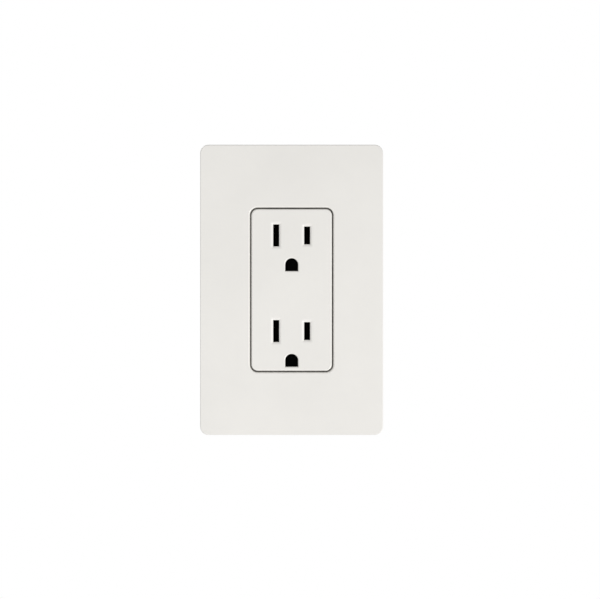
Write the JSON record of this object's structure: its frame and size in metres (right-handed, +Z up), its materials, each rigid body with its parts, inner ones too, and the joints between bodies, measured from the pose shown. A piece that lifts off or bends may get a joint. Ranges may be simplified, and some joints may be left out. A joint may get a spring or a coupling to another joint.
{
  "type": "duplex wall outlet",
  "caption": "Decorator-style grounded duplex wall outlet with its clip-on screwless wall plate, adapter frame, mounting strap, side terminals and turning screws.",
  "frame": {"origin": "centre of the strap on the plane of the finished wall", "axes": "+X to the right as the outlet is faced, +Y into the wall, +Z up"},
  "size_m": [0.075, 0.0319, 0.119],
  "materials": {
    "white_plastic": "white moulded thermoplastic, satin gloss",
    "adapter_plastic": "off-white moulded thermoplastic, matt",
    "black_plastic": "black glass-filled nylon, matt",
    "galvanised_steel": "zinc-plated steel sheet",
    "contact_brass": "rolled brass, bare",
    "brass_screw": "brass-plated steel",
    "nickel_screw": "nickel-plated steel",
    "green_screw": "green-dyed steel",
    "clamp_steel": "plated steel",
    "zinc_screw": "zinc-plated steel",
    "white_screw": "white-painted steel",
    "fibre": "brown vulcanised fibre"
  },
  "bodies": {
    "receptacle": {"mounting_strap": "galvanised_steel", "front_cover": "white_plastic", "rear_body": "black_plastic", "hot_bus_strip": "contact_brass", "neutral_bus_strip": "contact_brass", "ground_contact_upper": "contact_brass", "ground_contact_lower": "contact_brass", "ground_rivet_upper": "nickel_screw", "ground_rivet_lower": "nickel_screw", "housing_screw_top_left": "zinc_screw", "housing_screw_top_right": "zinc_screw", "housing_screw_bottom_left": "zinc_screw", "housing_screw_bottom_right": "zinc_screw"},
    "adapter": {"plate_adapter": "adapter_plastic"},
    "adapter_screw_top": {"adapter_screw_top": "white_screw"},
    "adapter_screw_bottom": {"adapter_screw_bottom": "white_screw"},
    "wall_plate": {"wall_plate": "white_plastic"},
    "retainer_top": {"screw_retainer_top": "fibre"},
    "retainer_bottom": {"screw_retainer_bottom": "fibre"},
    "mounting_screw_top": {"mounting_screw_top": "zinc_screw"},
    "mounting_screw_bottom": {"mounting_screw_bottom": "zinc_screw"},
    "hot_upper_clamp": {"hot_wire_clamp_upper": "clamp_steel"},
    "hot_upper_screw": {"hot_terminal_screw_upper": "brass_screw"},
    "hot_lower_clamp": {"hot_wire_clamp_lower": "clamp_steel"},
    "hot_lower_screw": {"hot_terminal_screw_lower": "brass_screw"},
    "neutral_upper_clamp": {"neutral_wire_clamp_upper": "clamp_steel"},
    "neutral_upper_screw": {"neutral_terminal_screw_upper": "nickel_screw"},
    "neutral_lower_clamp": {"neutral_wire_clamp_lower": "clamp_steel"},
    "neutral_lower_screw": {"neutral_terminal_screw_lower": "nickel_screw"},
    "ground_clamp": {"ground_wire_clamp": "clamp_steel"},
    "ground_screw": {"ground_screw": "green_screw"}
  },
  "joints": [
    {"name": "adapter_lift", "type": "slide", "parent": "receptacle", "child": "adapter", "axis": [0, -1, 0], "range_m": [0, 0.00476]},
    {"name": "adapter_screw_top_turn", "type": "hinge", "parent": "adapter", "child": "adapter_screw_top", "pos_m": [0, -0.0051, 0.0484], "axis": [0, -1, 0], "range_deg": [0, 2160]},
    {"name": "adapter_screw_bottom_turn", "type": "hinge", "parent": "adapter", "child": "adapter_screw_bottom", "pos_m": [0, -0.0051, -0.0484], "axis": [0, -1, 0], "range_deg": [0, 2160]},
    {"name": "wall_plate_pull", "type": "slide", "parent": "adapter", "child": "wall_plate", "axis": [0, -1, 0], "range_m": [0, 0.016]},
    {"name": "mounting_screw_top_shift", "type": "slide", "parent": "receptacle", "child": "retainer_top", "axis": [1, 0, 0], "range_m": [-0.002, 0.002]},
    {"name": "mounting_screw_top_turn", "type": "hinge", "parent": "retainer_top", "child": "mounting_screw_top", "pos_m": [0, -0.00135, 0.04167], "axis": [0, -1, 0], "continuous": true},
    {"name": "mounting_screw_bottom_shift", "type": "slide", "parent": "receptacle", "child": "retainer_bottom", "axis": [1, 0, 0], "range_m": [-0.002, 0.002]},
    {"name": "mounting_screw_bottom_turn", "type": "hinge", "parent": "retainer_bottom", "child": "mounting_screw_bottom", "pos_m": [0, -0.00135, -0.04167], "axis": [0, -1, 0], "continuous": true},
    {"name": "hot_terminal_upper_lift", "type": "slide", "parent": "receptacle", "child": "hot_upper_clamp", "axis": [1, 0, 0], "range_m": [0, 0.00238]},
    {"name": "hot_terminal_upper_turn", "type": "hinge", "parent": "hot_upper_clamp", "child": "hot_upper_screw", "pos_m": [0.0149, 0.0095, 0.011], "axis": [1, 0, 0], "range_deg": [0, 1080]},
    {"name": "hot_terminal_lower_lift", "type": "slide", "parent": "receptacle", "child": "hot_lower_clamp", "axis": [1, 0, 0], "range_m": [0, 0.00238]},
    {"name": "hot_terminal_lower_turn", "type": "hinge", "parent": "hot_lower_clamp", "child": "hot_lower_screw", "pos_m": [0.0149, 0.0095, -0.011], "axis": [1, 0, 0], "range_deg": [0, 1080]},
    {"name": "neutral_terminal_upper_lift", "type": "slide", "parent": "receptacle", "child": "neutral_upper_clamp", "axis": [-1, 0, 0], "range_m": [0, 0.00238]},
    {"name": "neutral_terminal_upper_turn", "type": "hinge", "parent": "neutral_upper_clamp", "child": "neutral_upper_screw", "pos_m": [-0.0149, 0.0095, 0.011], "axis": [-1, 0, 0], "range_deg": [0, 1080]},
    {"name": "neutral_terminal_lower_lift", "type": "slide", "parent": "receptacle", "child": "neutral_lower_clamp", "axis": [-1, 0, 0], "range_m": [0, 0.00238]},
    {"name": "neutral_terminal_lower_turn", "type": "hinge", "parent": "neutral_lower_clamp", "child": "neutral_lower_screw", "pos_m": [-0.0149, 0.0095, -0.011], "axis": [-1, 0, 0], "range_deg": [0, 1080]},
    {"name": "ground_terminal_lift", "type": "slide", "parent": "receptacle", "child": "ground_clamp", "axis": [-1, 0, 0], "range_m": [0, 0.00238]},
    {"name": "ground_terminal_turn", "type": "hinge", "parent": "ground_clamp", "child": "ground_screw", "pos_m": [-0.0161, 0.0056, -0.0293], "axis": [-1, 0, 0], "range_deg": [0, 1080]}
  ],
  "couplings": [
    {"joint": "adapter_screw_top_turn", "follows": "adapter_lift", "rad_per_m": 7915.8},
    {"joint": "adapter_screw_bottom_turn", "follows": "adapter_lift", "rad_per_m": 7915.8},
    {"joint": "hot_terminal_upper_turn", "follows": "hot_terminal_upper_lift", "rad_per_m": 7915.8},
    {"joint": "hot_terminal_lower_turn", "follows": "hot_terminal_lower_lift", "rad_per_m": 7915.8},
    {"joint": "neutral_terminal_upper_turn", "follows": "neutral_terminal_upper_lift", "rad_per_m": 7915.8},
    {"joint": "neutral_terminal_lower_turn", "follows": "neutral_terminal_lower_lift", "rad_per_m": 7915.8},
    {"joint": "ground_terminal_turn", "follows": "ground_terminal_lift", "rad_per_m": 7915.8}
  ]
}
